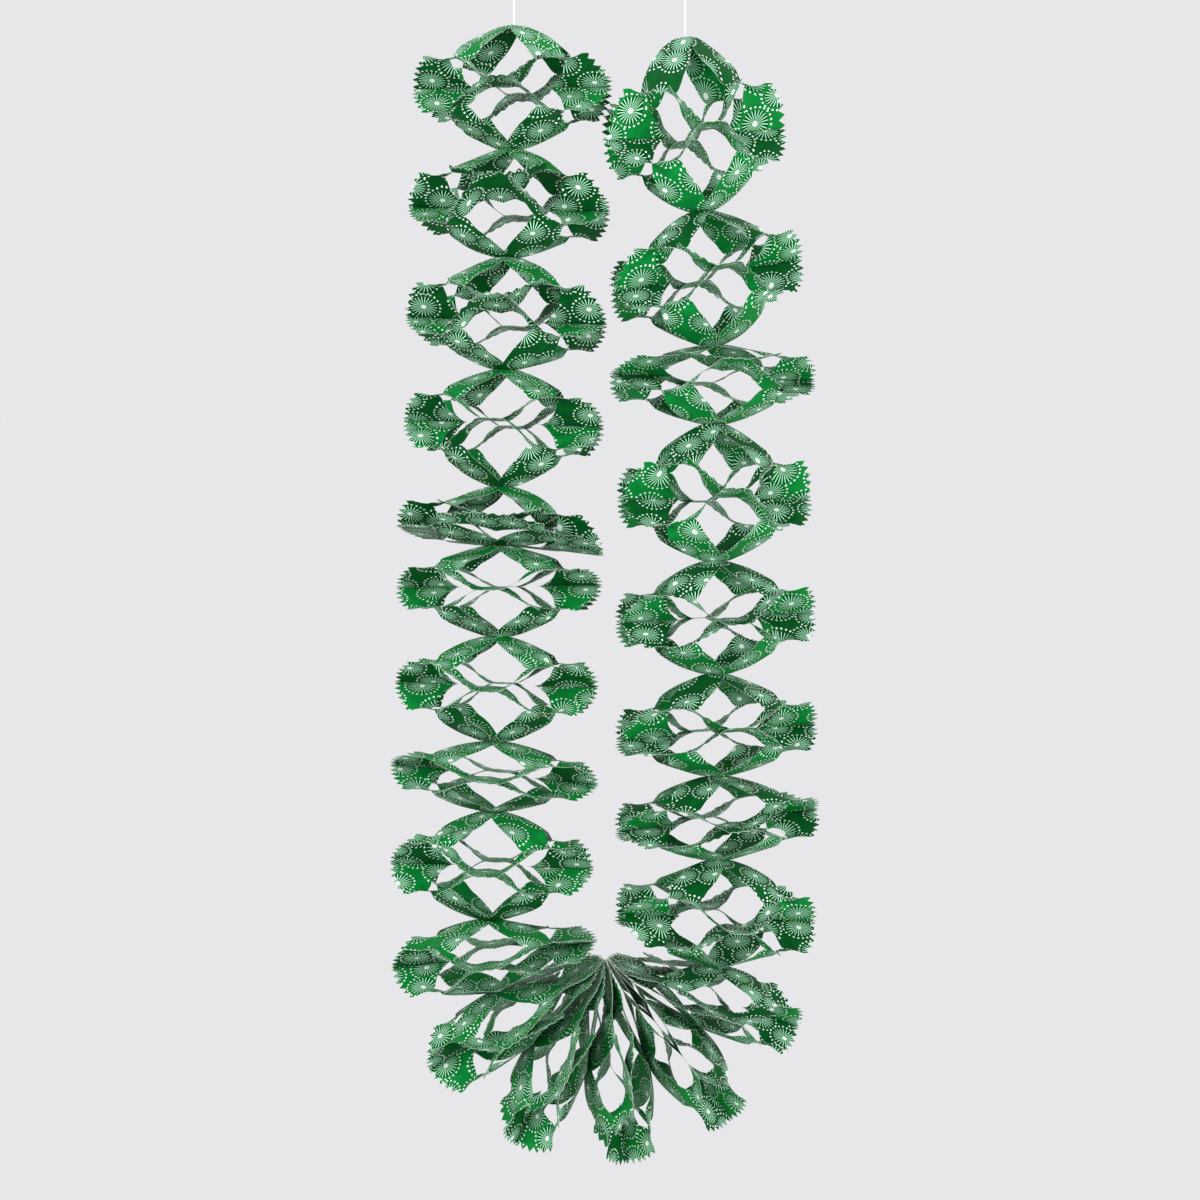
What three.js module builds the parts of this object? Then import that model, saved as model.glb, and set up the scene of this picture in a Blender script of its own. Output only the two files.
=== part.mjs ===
// Honeycomb paper garland, hung as a U from two threads. Millimetres, +Z up, +X to the right, +Y away.
//
// Every sheet is the same die-cut round of paper: a square centre, four petals on the diagonals and four
// toothed fans on the axes, parted by slits that leave two narrow necks beside each petal's blunt end.
// Sheets are glued in turn at their centres and along the middle line of their fans, so the stack opens
// into a row of cells. Each cell is two sheets that meet at their fans and are hung by their centres.
//
// The origin is the midpoint between the two thread loops.

import * as THREE from 'three';

const degrees = THREE.MathUtils.degToRad;

// Paper and glue
const SHEET_THICKNESS = 0.25;
const GLUE_GAP = 0.3; // between two sheets where they are glued

// Flat cut of one sheet: along a petal means from the centre on a diagonal, half widths are across it
const CENTRE_CORNER = 25; // corner of the glued square, on a fan's axis
const PETAL_BELLY_AT = 46;
const PETAL_BELLY_HALF = 21.9;
const SLIT_END_AT = 75.7;
const SLIT_END_HALF = 16.3;
const PETAL_END_AT = 84.1;
const PETAL_END_HALF = 13.4;
const FAN_ROOT = 42; // inner end of a fan's glued middle line
const FAN_TIP_RADIUS = 107;
const FAN_TOOTH_DEPTH = 6;
const FAN_CORNER_RADIUS = 101;
const FAN_CORNER_ANGLE = degrees(33.2);
const TEETH_PER_WING = 2; // coarse teeth, half a fan

// Share of a petal's fall by which its end drops beside the near and far fans and rises beside the side fans
const PETAL_LEAN = 0.15;

// The row of cells, from the top of the left run, round the turn, to the top of the right run. Each is pulled
// open to its own part of the cell height. Its first sheet takes the given share of that, or else half of it.
// A tilt lowers the +X side of the plane of its glued fans, and a lift raises the near half of that plane.
const CELL_HEIGHT = 100;
const LEFT_LEAN = degrees(1.5);
const LEFT_CELLS = [
  { open: 1.23, tilt: degrees(-1.5), lift: degrees(-4) },
  { open: 1.08, share: 0.56, tilt: degrees(1), lift: degrees(11) },
  { open: 1.12, share: 0.57, tilt: degrees(2), lift: degrees(8) },
  { open: 1.17, share: 0.46, tilt: degrees(1) },
  { open: 0.59, share: 0.62, tilt: degrees(7), lift: degrees(3) },
  { open: 0.91, share: 0.45, tilt: degrees(-2) },
  { open: 1.05, share: 0.46 },
  { open: 0.70, share: 0.47, tilt: degrees(4) },
  { open: 1.08 },
  { open: 0.71, bend: degrees(19) },
];
const TURN_CELLS = 5;
const TURN_CELL_BEND = degrees(31.5);
const TURN_INNER_CLEARANCE = 2.5; // from the turn's pivot to the nearest fan tip
const RIGHT_CELLS = [
  { open: 1.06, share: 0.46, bend: degrees(5.5), tilt: degrees(2) },
  { open: 0.84, share: 0.48, tilt: degrees(-5) },
  { open: 1.02, share: 0.43, tilt: degrees(-4) },
  { open: 1.13, tilt: degrees(-2.5) },
  { open: 1.37, share: 0.45 },
  { open: 0.79, share: 0.58, tilt: degrees(2), bend: degrees(2.5), lift: degrees(8) },
  { open: 1.34, share: 0.52, tilt: degrees(-7), bend: degrees(2.5) },
  { open: 1.74, share: 0.44 },
];

// Turn of the sheets about the row, at the top and foot of the left run and the foot and top of the right run
const TWIST_LEFT_TOP = degrees(-16);
const TWIST_LEFT_FOOT = degrees(-2);
const TWIST_RIGHT_FOOT = degrees(-13);
const TWIST_RIGHT_TOP = degrees(-10);

// Hanging threads
const THREAD_DIAMETER = 1.8;
const THREAD_SIDES = 8;
const THREAD_STEPS = 3;
const SHORTEST_THREAD = 40;
const LOOP_RADIUS = 6; // to the middle of the thread
const LOOP_SIDES = 6;
const LOOP_STEPS = 10;

const SEAT = GLUE_GAP / 2 + SHEET_THICKNESS / 2; // from a glue plane to the middle of a sheet
const HINGE_AT = CENTRE_CORNER / Math.SQRT2; // petals fold along the sides of the centre square
const PETAL_FOLD_LENGTH = PETAL_END_AT - HINGE_AT;
const WING_FOLD_LENGTH = (PETAL_END_AT - PETAL_END_HALF) / Math.SQRT2;
const FOLD_LENGTH = PETAL_FOLD_LENGTH + WING_FOLD_LENGTH; // half a cell's height when pulled straight
const PETAL_SHARE = PETAL_FOLD_LENGTH / FOLD_LENGTH; // of a sheet's height

const paperMaterial = () => new THREE.MeshStandardMaterial({ color: 0x0a8a42, roughness: 0.4 });
const threadMaterial = () => new THREE.MeshStandardMaterial({ color: 0xf2f2ee, roughness: 0.85 });

// A point given along and across a diagonal, in the fan's own axes
function onDiagonal(along, across) {
  return new THREE.Vector2(along + across, along - across).divideScalar(Math.SQRT2);
}

function turnedBy(angle, x, y) {
  return new THREE.Vector2(x, y).rotateAround(new THREE.Vector2(), angle);
}

// Toothed outer edge of half a fan, from its middle line to its corner
function wingEdge() {
  const last = 2 * TEETH_PER_WING - 1;
  const edge = [];
  for (let i = 0; i < last; i += 1) {
    const radius = i % 2 === 0 ? FAN_TIP_RADIUS - FAN_TOOTH_DEPTH : FAN_TIP_RADIUS;
    edge.push(turnedBy((FAN_CORNER_ANGLE * i) / last, radius, 0));
  }
  edge.push(turnedBy(FAN_CORNER_ANGLE, FAN_CORNER_RADIUS, 0));
  return edge;
}

// The flat net of a sheet: points with the fold they follow, triangles, and the cut edges in order
function cutSheet() {
  const points = [];
  const triangles = [];
  const places = new Map();

  // A point of one fan's half, turned to its fan and mirrored for the other half
  const addPoint = (flat, fold, fan, side) => {
    const spot = turnedBy((fan * Math.PI) / 2, flat.x, flat.y * side);
    const key = `${spot.x.toFixed(3)} ${spot.y.toFixed(3)}`.replaceAll('-0.000', '0.000');
    if (!places.has(key)) {
      places.set(key, points.length);
      points.push({ flat, fold, fan, side, spot });
    }
    return places.get(key);
  };
  const addFace = (outline) => {
    const contour = outline.map((index) => points[index].spot);
    for (const [a, b, c] of THREE.ShapeUtils.triangulateShape(contour, [])) {
      triangles.push([outline[a], outline[b], outline[c]]);
    }
  };

  const corner = new THREE.Vector2(CENTRE_CORNER, 0);
  const belly = onDiagonal(PETAL_BELLY_AT, PETAL_BELLY_HALF);
  const slitEnd = onDiagonal(SLIT_END_AT, SLIT_END_HALF);
  const petalEnd = onDiagonal(PETAL_END_AT, PETAL_END_HALF);
  const fanRoot = new THREE.Vector2(FAN_ROOT, 0);
  const halfPetal = (fan, side) => [
    addPoint(corner, 'petal', fan, side),
    addPoint(belly, 'petal', fan, side),
    addPoint(slitEnd, 'neck', fan, side),
    addPoint(petalEnd, 'neck', fan, side),
  ];
  const wing = (fan, side) => [
    addPoint(fanRoot, 'wing', fan, side),
    ...wingEdge().map((flat) => addPoint(flat, 'wing', fan, side)),
    addPoint(petalEnd, 'neck', fan, side),
    addPoint(slitEnd, 'neck', fan, side),
  ];

  addFace([0, 1, 2, 3].map((fan) => addPoint(corner, 'petal', fan, 1)));
  for (let fan = 0; fan < 4; fan += 1) {
    addFace([...halfPetal(fan, 1), ...halfPetal((fan + 1) % 4, -1).reverse()]);
    addFace(wing(fan, 1));
    addFace(wing(fan, -1).reverse());
  }
  return { points, triangles, edges: cutEdges(triangles) };
}

// Edges that belong to one triangle only, each in its triangle's direction
function cutEdges(triangles) {
  const sides = triangles.flatMap(([a, b, c]) => [[a, b], [b, c], [c, a]]);
  const taken = new Set(sides.map(([a, b]) => `${a} ${b}`));
  return sides.filter(([a, b]) => !taken.has(`${b} ${a}`));
}

// Angle at which a strip of paper falls by the given height
function foldAngle(fall, length) {
  return Math.asin(Math.min(fall / length, 1));
}

// Where a flat point lies when its sheet is opened: along the fan's axis, across it, and how far it has gone
// from the glued centre (0) to the glued fans (1). The sheet's own room sets how steep its petals and wings
// are, and the mean room of the cell's two sheets sets how far in their glued fans are pulled.
function foldPoint({ flat, fold, fan }, room, meanRoom) {
  const along = (flat.x + flat.y) / Math.SQRT2;
  const across = (flat.x - flat.y) / Math.SQRT2;
  const fall = Math.max(along - HINGE_AT, 0);
  const petalAngle = foldAngle(room, FOLD_LENGTH);
  const lean = PETAL_LEAN * Math.cos(petalAngle) * (fan % 2 === 0 ? -1 : 1);
  const onPetal = onDiagonal(along - fall * (1 - Math.cos(petalAngle)), across);
  const petalFall = (fall / FOLD_LENGTH) * (1 + (lean * across) / PETAL_END_HALF);
  const petal = new THREE.Vector3(onPetal.x, onPetal.y, petalFall);

  const wingShare = 1 - PETAL_SHARE * (1 + lean);
  const wingAngle = foldAngle(wingShare * room, WING_FOLD_LENGTH);
  const pulledIn = (PETAL_FOLD_LENGTH / Math.SQRT2) * (1 - Math.cos(foldAngle(meanRoom, FOLD_LENGTH)));
  const wing = new THREE.Vector3(
    flat.x - pulledIn,
    flat.y * Math.cos(wingAngle),
    1 - (wingShare * flat.y) / WING_FOLD_LENGTH,
  );
  if (fold === 'petal') return petal;
  if (fold === 'wing') return wing;
  return petal.lerp(wing, 0.5);
}

// The glue planes in order: centre, fans, centre, ... Each has its middle, the direction of its inner side,
// the twist of the sheets there and the slope by which its near half is raised.
function gluePlanes() {
  const turnHeight = (FAN_TIP_RADIUS + TURN_INNER_CLEARANCE) * TURN_CELL_BEND;
  const turnCell = { open: turnHeight / CELL_HEIGHT, bend: TURN_CELL_BEND };
  const cells = [...LEFT_CELLS, ...Array(TURN_CELLS).fill(turnCell), ...RIGHT_CELLS];
  const leftFoot = LEFT_CELLS.length * 2;
  const rightFoot = leftFoot + TURN_CELLS * 2;
  const last = cells.length * 2;
  const twistAt = (index) => {
    if (index < leftFoot) {
      return THREE.MathUtils.mapLinear(index, 0, leftFoot, TWIST_LEFT_TOP, TWIST_LEFT_FOOT);
    }
    if (index < rightFoot) {
      return THREE.MathUtils.mapLinear(index, leftFoot, rightFoot, TWIST_LEFT_FOOT, TWIST_RIGHT_FOOT);
    }
    return THREE.MathUtils.mapLinear(index, rightFoot, last, TWIST_RIGHT_FOOT, TWIST_RIGHT_TOP);
  };

  const middle = new THREE.Vector2();
  let heading = -Math.PI / 2 - LEFT_LEAN;
  const planes = [];
  const addPlane = (tilt, lift) => {
    const inwards = heading + Math.PI / 2 - tilt;
    planes.push({
      middle: new THREE.Vector3(middle.x, 0, middle.y),
      inner: new THREE.Vector3(Math.cos(inwards), 0, Math.sin(inwards)),
      twist: twistAt(planes.length),
      nearSlope: Math.tan(lift),
    });
  };
  const advance = (length, bend) => {
    const chord = bend === 0 ? length : ((2 * length) / bend) * Math.sin(bend / 2);
    heading += bend / 2;
    middle.add(new THREE.Vector2(Math.cos(heading), Math.sin(heading)).multiplyScalar(chord));
    heading += bend / 2;
  };

  addPlane(0, 0);
  for (const { open, share = 0.5, bend = 0, tilt = 0, lift = 0 } of cells) {
    advance(CELL_HEIGHT * open * share, bend / 2);
    addPlane(tilt, lift);
    advance(CELL_HEIGHT * open * (1 - share), bend / 2);
    addPlane(0, 0);
  }
  return planes;
}

// A point of a glue plane, from its middle
function onPlane(plane, x, y) {
  const raised = plane.nearSlope * Math.max(-y, 0);
  return plane.middle.clone().addScaledVector(plane.inner, x).add(new THREE.Vector3(0, y, raised));
}

// Middle surface of one opened sheet: its points between the plane of its centre and the plane of its fans.
// The far plane is the one that holds the centre of the cell's other sheet.
function openSheet(net, centrePlane, fanPlane, farPlane) {
  const turned = (point, fanShare, x, y) => {
    const twist = THREE.MathUtils.lerp(centrePlane.twist, fanPlane.twist, fanShare);
    return turnedBy((point.fan * Math.PI) / 2 + twist, x, y * point.side);
  };
  return net.points.map((point) => {
    const flat = turned(point, 0.5, point.flat.x, point.flat.y);
    const onFans = onPlane(fanPlane, flat.x, flat.y);
    const room = onPlane(centrePlane, flat.x, flat.y).distanceTo(onFans);
    const otherRoom = onPlane(farPlane, flat.x, flat.y).distanceTo(onFans);
    const folded = foldPoint(point, room, (room + otherRoom) / 2);
    const spot = turned(point, folded.z, folded.x, folded.y);
    const from = onPlane(centrePlane, spot.x, spot.y);
    const to = onPlane(fanPlane, spot.x, spot.y);
    const span = from.distanceTo(to);
    return from.lerp(to, (SEAT + folded.z * (span - 2 * SEAT)) / span);
  });
}

// Directions out of the sheet at each point, averaged over the faces round it by their area
function pointNormals(middles, triangles) {
  const normals = middles.map(() => new THREE.Vector3());
  for (const [a, b, c] of triangles) {
    const ab = middles[b].clone().sub(middles[a]);
    const ac = middles[c].clone().sub(middles[a]);
    const face = ab.cross(ac);
    for (const index of [a, b, c]) normals[index].add(face);
  }
  return normals.map((normal) => normal.normalize());
}

// A closed sheet of paper: both faces of the middle surface and the cut edges between them
function sheetGeometry(net, middles) {
  const normals = pointNormals(middles, net.triangles);
  const shifted = (by) => middles.map((spot, i) => spot.clone().addScaledVector(normals[i], by));
  const count = middles.length;
  const index = [];
  for (const [a, b, c] of net.triangles) {
    index.push(a, b, c);
    index.push(count + a, count + c, count + b);
  }
  for (const [a, b] of net.edges) {
    index.push(a, count + a, count + b);
    index.push(a, count + b, b);
  }
  const half = SHEET_THICKNESS / 2;
  const geometry = new THREE.BufferGeometry().setFromPoints([...shifted(half), ...shifted(-half)]);
  geometry.setIndex(index);
  geometry.computeVertexNormals();
  return geometry;
}

function threadGeometry(from, to) {
  const section = new THREE.Shape();
  for (let i = 0; i < THREAD_SIDES; i += 1) {
    const angle = (2 * Math.PI * i) / THREAD_SIDES;
    const x = (Math.cos(angle) * THREAD_DIAMETER) / 2;
    const y = (Math.sin(angle) * THREAD_DIAMETER) / 2;
    if (i === 0) section.moveTo(x, y);
    else section.lineTo(x, y);
  }
  const line = new THREE.LineCurve3(from, to);
  return new THREE.ExtrudeGeometry(section, { steps: THREAD_STEPS, extrudePath: line });
}

function named(name, geometry, material) {
  const mesh = new THREE.Mesh(geometry, material);
  mesh.name = name;
  return mesh;
}

// A thread that stands on the centre of an end sheet, and the loop tied at its top
function hangingThread(side, centre, loopHeight) {
  const foot = centre.clone().add(new THREE.Vector3(0, 0, GLUE_GAP));
  const loopBottom = loopHeight - LOOP_RADIUS - THREAD_DIAMETER / 2;
  const top = new THREE.Vector3(centre.x, centre.y, loopBottom - GLUE_GAP);
  const loop = named(
    `loop_${side}`,
    new THREE.TorusGeometry(LOOP_RADIUS, THREAD_DIAMETER / 2, LOOP_SIDES, LOOP_STEPS),
    threadMaterial(),
  );
  loop.rotation.x = Math.PI / 2;
  loop.position.set(centre.x, centre.y, loopHeight);
  return [named(`thread_${side}`, threadGeometry(foot, top), threadMaterial()), loop];
}

function buildGarland() {
  const garland = new THREE.Group();
  const net = cutSheet();
  const planes = gluePlanes();
  for (let i = 0; i + 1 < planes.length; i += 1) {
    const first = i - (i % 2);
    const cell = planes.slice(first, first + 3);
    if (i > first) cell.reverse();
    const geometry = sheetGeometry(net, openSheet(net, ...cell));
    garland.add(named(`paper_sheet_${String(i + 1).padStart(2, '0')}`, geometry, paperMaterial()));
  }

  const leftTop = planes[0].middle;
  const rightTop = planes[planes.length - 1].middle;
  const loopHeight = Math.max(leftTop.z, rightTop.z) + SHORTEST_THREAD + LOOP_RADIUS;
  garland.add(...hangingThread('left', leftTop, loopHeight));
  garland.add(...hangingThread('right', rightTop, loopHeight));
  garland.position.set(-(leftTop.x + rightTop.x) / 2, 0, -loopHeight);
  return garland;
}

export default buildGarland();
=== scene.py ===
"""Honeycomb paper garland: printed die-cut sheets glued into a row of cells, hung as a U from two threads."""

import math
from typing import NamedTuple

import bpy
import numpy as np
from bpy.props import FloatProperty, FloatVectorProperty, IntProperty, PointerProperty
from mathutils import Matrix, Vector


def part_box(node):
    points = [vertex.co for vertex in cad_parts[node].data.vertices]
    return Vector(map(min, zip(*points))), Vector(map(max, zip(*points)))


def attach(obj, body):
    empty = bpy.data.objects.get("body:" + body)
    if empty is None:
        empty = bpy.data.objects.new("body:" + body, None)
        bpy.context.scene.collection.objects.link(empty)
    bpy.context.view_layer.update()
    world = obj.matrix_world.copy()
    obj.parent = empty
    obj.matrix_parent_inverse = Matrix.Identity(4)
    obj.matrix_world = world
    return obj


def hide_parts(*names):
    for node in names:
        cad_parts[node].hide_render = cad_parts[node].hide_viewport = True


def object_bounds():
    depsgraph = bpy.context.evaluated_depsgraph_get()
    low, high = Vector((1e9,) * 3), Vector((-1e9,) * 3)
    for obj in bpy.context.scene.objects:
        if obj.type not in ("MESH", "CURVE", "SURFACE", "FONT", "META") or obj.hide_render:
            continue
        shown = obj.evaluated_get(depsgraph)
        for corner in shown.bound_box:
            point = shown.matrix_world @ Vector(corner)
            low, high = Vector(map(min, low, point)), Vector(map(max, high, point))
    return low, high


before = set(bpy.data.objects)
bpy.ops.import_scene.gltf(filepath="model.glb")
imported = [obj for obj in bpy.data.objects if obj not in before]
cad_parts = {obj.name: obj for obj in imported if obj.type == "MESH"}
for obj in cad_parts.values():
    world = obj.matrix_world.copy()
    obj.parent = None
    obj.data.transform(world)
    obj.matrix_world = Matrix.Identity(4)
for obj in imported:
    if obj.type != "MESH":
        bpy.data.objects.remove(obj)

bl_info = {
    "name": "Honeycomb paper garland",
    "version": (1, 0, 0),
    "blender": (4, 5, 0),
    "location": "3D View > Sidebar > Garland",
    "description": "Builds a hanging garland of printed die-cut paper sheets",
    "category": "Add Mesh",
}

CAD_BOX = [list(corner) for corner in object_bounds()]
BODY = "root"
MM = 0.001
DEGREE = math.pi / 180
QUARTER = math.pi / 2


class Cell(NamedTuple):
    """One cell of the row: how far it is open, as a part of the cell height, the share of it that the
    first sheet takes, the bend of the row in it, the tilt that lowers the +X side of its fans, the lift
    of the near half of its fan plane, back along the row, the curl of its near fans the same way, and the
    lift of the near half of its last sheet's centre."""

    open: float
    share: float = 0.5
    bend: float = 0.0
    tilt: float = 0.0
    lift: float = 0.0
    curl: float = 0.0
    foot: float = 0.0


# The row of cells, from the top of the left run, round the turn, to the top of the right run
LEFT_CELLS = (
    Cell(1.23, tilt=-1.5 * DEGREE, lift=-11 * DEGREE, curl=16 * DEGREE),
    Cell(1.08, share=0.56, tilt=1 * DEGREE, lift=3 * DEGREE, curl=19 * DEGREE),
    Cell(1.12, share=0.57, tilt=2 * DEGREE, lift=8 * DEGREE, curl=6 * DEGREE),
    Cell(1.17, share=0.46, tilt=1 * DEGREE),
    Cell(0.59, share=0.93, tilt=7 * DEGREE, lift=14 * DEGREE, foot=14 * DEGREE),
    Cell(0.91, share=0.45, tilt=-2 * DEGREE, curl=-4 * DEGREE),
    Cell(1.05, share=0.46, curl=-5 * DEGREE),
    Cell(0.70, share=0.47, tilt=4 * DEGREE, curl=-4 * DEGREE),
    Cell(1.08, curl=-4 * DEGREE),
    Cell(0.71, bend=19 * DEGREE),
)
RIGHT_CELLS = (
    Cell(1.06, share=0.46, bend=5.5 * DEGREE, tilt=2 * DEGREE),
    Cell(0.84, share=0.48, tilt=-5 * DEGREE, curl=7 * DEGREE),
    Cell(1.02, share=0.43, tilt=-4 * DEGREE, curl=-7 * DEGREE),
    Cell(1.13, tilt=-2.5 * DEGREE, curl=8 * DEGREE),
    Cell(1.37, share=0.45, curl=-9 * DEGREE),
    Cell(0.79, share=0.58, tilt=2 * DEGREE, bend=2.5 * DEGREE, lift=-8 * DEGREE),
    Cell(1.34, share=0.52, tilt=-7 * DEGREE, bend=2.5 * DEGREE),
    Cell(1.74, share=0.44),
)


def length(name, description, default):
    """A length setting, in metres."""
    return FloatProperty(
        name=name, description=description, default=default, min=0, precision=4, unit="LENGTH"
    )


def angle(name, description, default):
    """An angle setting, given in degrees and kept in radians."""
    return FloatProperty(name=name, description=description, default=default * DEGREE, unit="ROTATION")


def share(name, description, default):
    """A setting from nothing to one."""
    return FloatProperty(name=name, description=description, default=default, min=0, max=1, subtype="FACTOR")


def power(name, description, default):
    """A lamp's power, in watts."""
    return FloatProperty(name=name, description=description, default=default, min=0, unit="POWER")


def count(name, description, default):
    """A whole number of one or more."""
    return IntProperty(name=name, description=description, default=default, min=1)


def colour(name, description, default):
    """A colour setting, in linear red, green and blue."""
    return FloatVectorProperty(
        name=name, description=description, default=default, size=3, min=0, max=1, subtype="COLOR"
    )


class GarlandCut(bpy.types.PropertyGroup):
    """The flat cut of one sheet, and how it bends when the garland is opened"""

    centre_corner: length("Centre corner", "From the centre to where two petals part", 25 * MM)
    belly_at: length("Belly at", "Where a petal is widest, along its diagonal", 46 * MM)
    belly_half: length("Belly half width", "Half of a petal's greatest width", 21.9 * MM)
    slit_end_at: length("Slit end at", "Where the slit beside a petal ends, along its diagonal", 75.7 * MM)
    slit_end_half: length("Slit end half width", "Half a petal's width at the slit's end", 16.3 * MM)
    petal_end_at: length("Petal end at", "Where a petal ends, along its diagonal", 84.1 * MM)
    petal_end_half: length("Petal end half width", "Half a petal's width at its blunt end", 13.4 * MM)
    fan_root: length("Fan root", "From the centre to the inner end of a fan", 42 * MM)
    fan_tip: length("Fan tip", "From the centre to the tips of a fan's teeth", 107 * MM)
    tooth_depth: length("Tooth depth", "Depth of the teeth round a fan", 6.5 * MM)
    fan_rounding: length("Fan rounding", "How much nearer the centre a fan's corner teeth end", 3.5 * MM)
    corner_tooth_depth: length("Corner tooth depth", "Depth of the tooth at a fan's corner", 5 * MM)
    fan_half_angle: angle("Fan half angle", "From a fan's middle line to its corner", 33.2)
    teeth: count("Teeth", "Teeth on half a fan", 6)
    thickness: length("Paper thickness", "Thickness of the paper", 0.2 * MM)
    glue: length("Glue", "Gap between two sheets where they are glued", 0.03 * MM)
    petal_share: share("Petal share", "Share of a sheet's height that its petals take", 0.59)
    petal_lean: share("Petal lean", "Turn of the level lines at a petal's end towards the side fans", 0.25)
    petal_glued: length("Petal glued", "Glued part of a petal, from the centre", 8 * MM)
    petal_bend: length("Petal bend", "Length of the bend at the foot of a petal", 8 * MM)
    side_fan_glued: length("Side fan glued", "Glued part of half a side fan, from its middle line", 1 * MM)
    side_fan_bend: length("Side fan bend", "Length of the bend beside a side fan's middle line", 6 * MM)
    near_fan_glued: length("Near fan glued", "Glued part of half a near or far fan", 10 * MM)
    near_fan_bend: length("Near fan bend", "Length of the bend in half a near or far fan", 10 * MM)
    neck_reach: length("Neck reach", "How far the twist at a petal's necks reaches", 18 * MM)
    unevenness: share("Unevenness", "Waviness of the paper, as a share of a cell", 0.035)


class GarlandRow(bpy.types.PropertyGroup):
    """How the row of cells hangs"""

    cell_height: length("Cell height", "Height of a cell that is open by one", 100 * MM)
    left_lean: angle("Left lean", "Lean of the left run from upright", 1.5)
    turn_cells: count("Turn cells", "Cells in the turn at the bottom", 5)
    turn_bend: angle("Turn bend", "Bend of the row in each cell of the turn", 31.5)
    turn_tilt_left: angle("Left turn tilt", "Near side's lean back along the row as the turn begins", -7.5)
    turn_tilt_right: angle("Right turn tilt", "Near side's lean back along the row as the turn ends", 7)
    turn_clearance: length("Turn clearance", "From the turn's pivot to the nearest fan tip", 2.5 * MM)
    twist_left_top: angle("Left twist", "Turn of the sheets about the row at the left top", -8)
    twist_left_foot: angle("Left foot twist", "Turn of the sheets about the row where the turn begins", -2)
    twist_right_foot: angle("Right foot twist", "Turn of the sheets about the row where the turn ends", -13)
    twist_right_top: angle("Right twist", "Turn of the sheets about the row at the right top", -10)


class GarlandPrint(bpy.types.PropertyGroup):
    """Paper colours and the printed starbursts"""

    bright_face: colour("Bright face", "Paper colour of the face back along the row", (0.002, 0.215, 0.036))
    deep_face: colour("Deep face", "Paper colour of the face on along the row", (0.001, 0.086, 0.015))
    ink: colour("Ink", "Colour of the bursts' middles and dots", (0.86, 0.94, 0.88))
    ray_ink: colour("Ray ink", "Colour of the thin rays", (0.46, 0.93, 0.61))
    core: colour("Core", "Colour of the paper's cut edge", (0.50, 0.62, 0.53))
    burst_spacing: length("Burst spacing", "Usual distance between two bursts", 36 * MM)
    burst_jitter: share("Burst jitter", "How far the bursts lie off an even grid", 0.42)
    burst_rays: count("Burst rays", "Rays and dots of one burst", 22)
    burst_ground: share("Burst ground", "How deep the green is between the rays", 0.9)
    ray_half_width: length("Ray half width", "Half of a printed ray's greatest width", 0.45 * MM)
    ray_duty: share("Ray duty", "Share of the turn round a burst that its rays take near the middle", 0.38)
    ray_length: length("Ray length", "From a burst's middle to the ends of its rays", 13.6 * MM)
    ring_radius: length("Ring radius", "From a burst's middle to its ring of dots", 16.8 * MM)
    dot_radius: length("Dot radius", "Radius of a printed dot", 1.05 * MM)
    middle_radius: length("Middle radius", "Radius of a burst's solid middle", 2.7 * MM)


class GarlandThread(bpy.types.PropertyGroup):
    """The two threads that the garland hangs from"""

    ply_pitch: length("Ply pitch", "Length of one full turn of the thread's plies", 5 * MM)
    ply_depth: share("Ply depth", "Depth of the grooves between the plies, as a share of the radius", 0.22)
    knot_radius: length("Knot radius", "Radius of the knot under a loop", 1.9 * MM)
    knot_height: length("Knot height", "Height of the knot under a loop", 4.6 * MM)
    tail: length("Tail", "Length of the cut end beside the knot", 7 * MM)
    colour: colour("Colour", "Colour of the thread", (0.84, 0.84, 0.82))


class GarlandStage(bpy.types.PropertyGroup):
    """Floor, light and camera"""

    floor_drop: length("Floor drop", "From the garland's lowest point to the floor", 0.32)
    floor_radius: length("Floor radius", "Radius of the round floor", 1.15)
    floor_colour: colour("Floor colour", "Colour of the floor", (0.72, 0.72, 0.73))
    background: colour("Background", "Colour behind the garland", (0.80, 0.80, 0.82))
    ambient: FloatProperty(
        name="Ambient", description="Strength of the light from all round", default=0.84, min=0
    )
    key_power: power("Key power", "Power of the large lamp on the left", 125)
    fill_power: power("Fill power", "Power of the low lamp on the right", 142)
    camera_distance: length("Camera distance", "From the garland to the camera", 3.3)
    field: length("Field", "Height and width of the picture at the garland", 1.2)
    picture_top: FloatProperty(
        name="Picture top", description="Height of the picture's top edge", default=-0.019, unit="LENGTH"
    )
    camera_side: FloatProperty(
        name="Camera side", description="Sideways place of the camera", default=0.0005, unit="LENGTH"
    )


SETTINGS = {
    "garland_cut": GarlandCut,
    "garland_row": GarlandRow,
    "garland_print": GarlandPrint,
    "garland_thread": GarlandThread,
    "garland_stage": GarlandStage,
}


def turned(x, y, by):
    """A point turned about the origin."""
    return x * np.cos(by) - y * np.sin(by), x * np.sin(by) + y * np.cos(by)


# The flat sheet

SLIT_STEPS = 16
NECK_STEPS = 4
NOTCH_STEPS = 4
CENTRE_STEPS = 6
PETAL_COLUMNS = 6
FAN_COLUMNS = 10
SLIT_TAPER = 1.25
JOIN_GAP = 0.01 * MM


def on_diagonal(along, across):
    """Fan coordinates (u along its axis, v beside it) of a point given along and across the petal's
    diagonal."""
    return (along + across) / math.sqrt(2), (along - across) / math.sqrt(2)


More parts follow.
